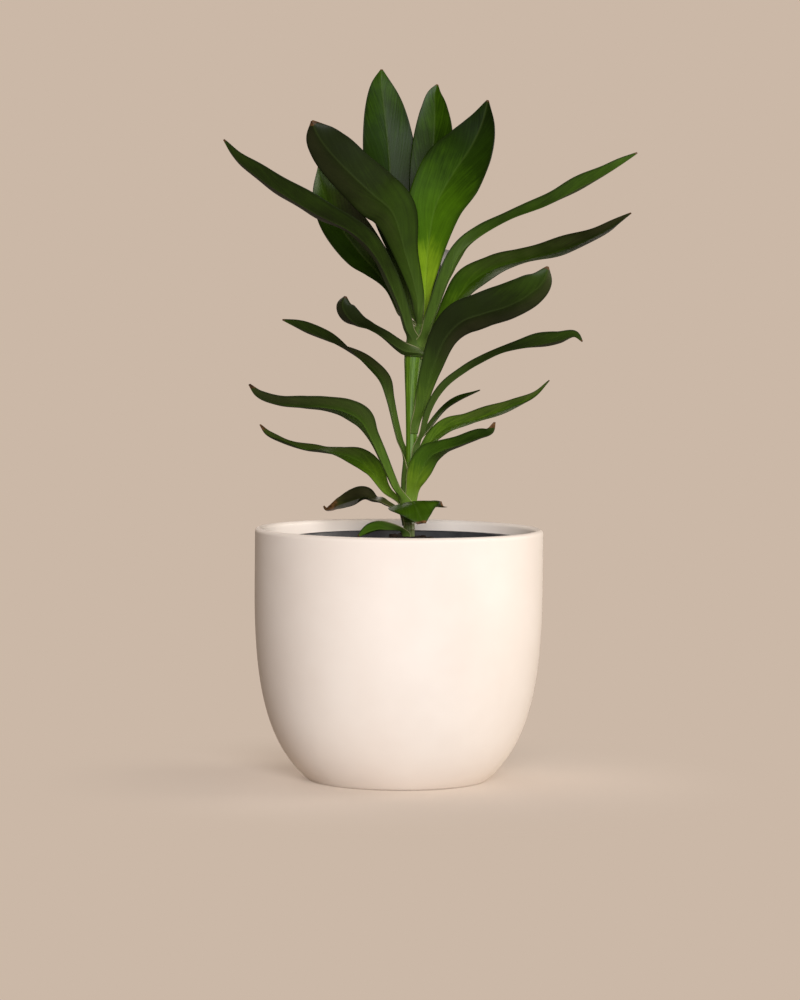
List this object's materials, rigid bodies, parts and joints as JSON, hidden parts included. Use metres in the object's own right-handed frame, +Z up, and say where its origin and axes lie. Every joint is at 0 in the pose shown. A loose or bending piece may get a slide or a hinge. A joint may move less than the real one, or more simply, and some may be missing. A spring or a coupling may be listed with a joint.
{
  "type": "potted cordyline",
  "caption": "Young green cordyline house plant in a black nursery pot set inside a plain cream ceramic cachepot with a flat foot.",
  "frame": {"origin": "centre of the cachepot's flat foot", "axes": "+Z up along the pot and the stem; -Y is the front of the plant"},
  "size_m": [0.323, 0.2447, 0.5561],
  "materials": {
    "cream_ceramic": "matt cream glaze with a very fine grain",
    "black_plastic": "black moulded polypropylene, satin",
    "soil": "dark crumbly potting soil of peat and bark",
    "stem": "smooth green stem with pale leaf scars and leaf bases",
    "dark_leaf": "waxy dark green leaf with a grey bloom, soft sheen",
    "mid_leaf": "waxy mid green leaf with fine parallel veins, soft sheen",
    "withered_leaf": "green leaf going brown and dry"
  },
  "bodies": {
    "root": {"ceramic_pot": "cream_ceramic", "nursery_pot": "black_plastic", "potting_soil": "soil", "stem": "stem", "leaf_crown_front_left": "dark_leaf", "leaf_crown_back_left": "mid_leaf", "leaf_crown_back_centre": "mid_leaf", "leaf_crown_front_right": "mid_leaf", "leaf_crown_back_right": "dark_leaf", "leaf_upper_left_long": "dark_leaf", "leaf_upper_left_broad": "mid_leaf", "leaf_upper_right_long": "mid_leaf", "leaf_upper_right_second": "dark_leaf", "leaf_upper_right_broad": "dark_leaf", "leaf_middle_left_short": "dark_leaf", "leaf_middle_left_thin": "dark_leaf", "leaf_lower_left_long": "mid_leaf", "leaf_lower_left_curled": "dark_leaf", "leaf_middle_right_long": "dark_leaf", "leaf_middle_right_tiny": "dark_leaf", "leaf_lower_right_thin": "dark_leaf", "leaf_lower_right_folded": "mid_leaf", "leaf_base_left_withered": "withered_leaf", "leaf_base_front": "dark_leaf", "leaf_base_right_small": "dark_leaf", "leaf_base_on_soil": "mid_leaf"}
  },
  "joints": []
}
